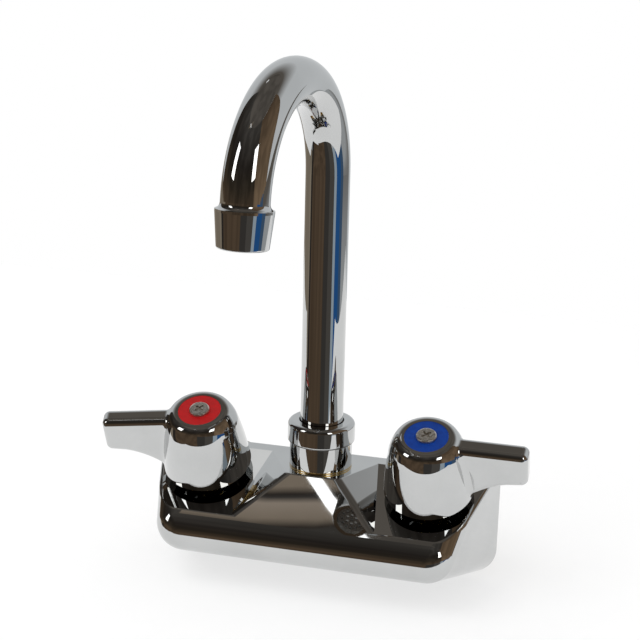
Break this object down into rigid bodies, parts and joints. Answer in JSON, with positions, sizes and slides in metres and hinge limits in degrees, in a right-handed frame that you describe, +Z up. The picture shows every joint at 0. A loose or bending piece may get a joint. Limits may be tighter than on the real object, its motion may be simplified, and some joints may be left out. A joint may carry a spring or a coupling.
{
  "type": "splash mount faucet",
  "caption": "Chromed wall faucet with a swivelling gooseneck spout, lever handles on quarter-turn valves and threaded inlet shanks with lock nuts behind the wall.",
  "frame": {"origin": "on the wall face, midway between the two inlet shanks", "axes": "+Y into the wall, +Z up, +X to the cold side"},
  "size_m": [0.1887, 0.1508, 0.2373],
  "materials": {
    "chrome": "polished",
    "brass": "machined",
    "steel": "plain",
    "rubber": "matte",
    "ceramic": "ground",
    "white_plastic": "moulded",
    "red_plastic": "gloss",
    "blue_plastic": "gloss"
  },
  "bodies": {
    "body": {"body_casting": "chrome", "cold_cartridge_body": "brass", "cold_cartridge_o_ring": "rubber", "cold_fixed_disc": "ceramic", "cold_inlet_shank": "brass", "cold_seat_seal": "rubber", "hot_cartridge_body": "brass", "hot_cartridge_o_ring": "rubber", "hot_fixed_disc": "ceramic", "hot_inlet_shank": "brass", "hot_seat_seal": "rubber", "lock_nuts": "brass", "neck_washer": "brass", "shank_gaskets": "rubber", "shank_washers": "steel", "spout_neck": "chrome", "spout_nut": "chrome"},
    "hot_lever": {"hot_handle": "chrome", "hot_index_ring": "red_plastic", "hot_handle_screw": "steel", "hot_stem": "brass", "hot_stem_o_ring": "rubber", "hot_stem_clip": "steel", "hot_moving_disc": "ceramic"},
    "cold_lever": {"cold_handle": "chrome", "cold_index_ring": "blue_plastic", "cold_handle_screw": "steel", "cold_stem": "brass", "cold_stem_o_ring": "rubber", "cold_stem_clip": "steel", "cold_moving_disc": "ceramic"},
    "spout": {"gooseneck_tube": "chrome", "spout_bushing": "white_plastic", "spout_o_rings": "rubber", "retaining_ring": "brass", "outlet_adapter": "chrome", "aerator_shell": "chrome", "aerator_washer": "rubber", "aerator_insert": "white_plastic", "aerator_screen": "steel"}
  },
  "joints": [
    {"name": "hot_turn", "type": "hinge", "parent": "body", "child": "hot_lever", "pos_m": [-0.0508, -0.02323, 0.01872], "axis": [0, -0.3827, 0.9239], "range_deg": [-11.5, 78.5]},
    {"name": "cold_turn", "type": "hinge", "parent": "body", "child": "cold_lever", "pos_m": [0.0508, -0.02323, 0.01872], "axis": [0, -0.3827, 0.9239], "range_deg": [-90, 0]},
    {"name": "spout_swivel", "type": "hinge", "parent": "body", "child": "spout", "pos_m": [0, -0.0175, 0.044], "axis": [0, 0, 1], "range_deg": [-84.06, 95.94]}
  ]
}
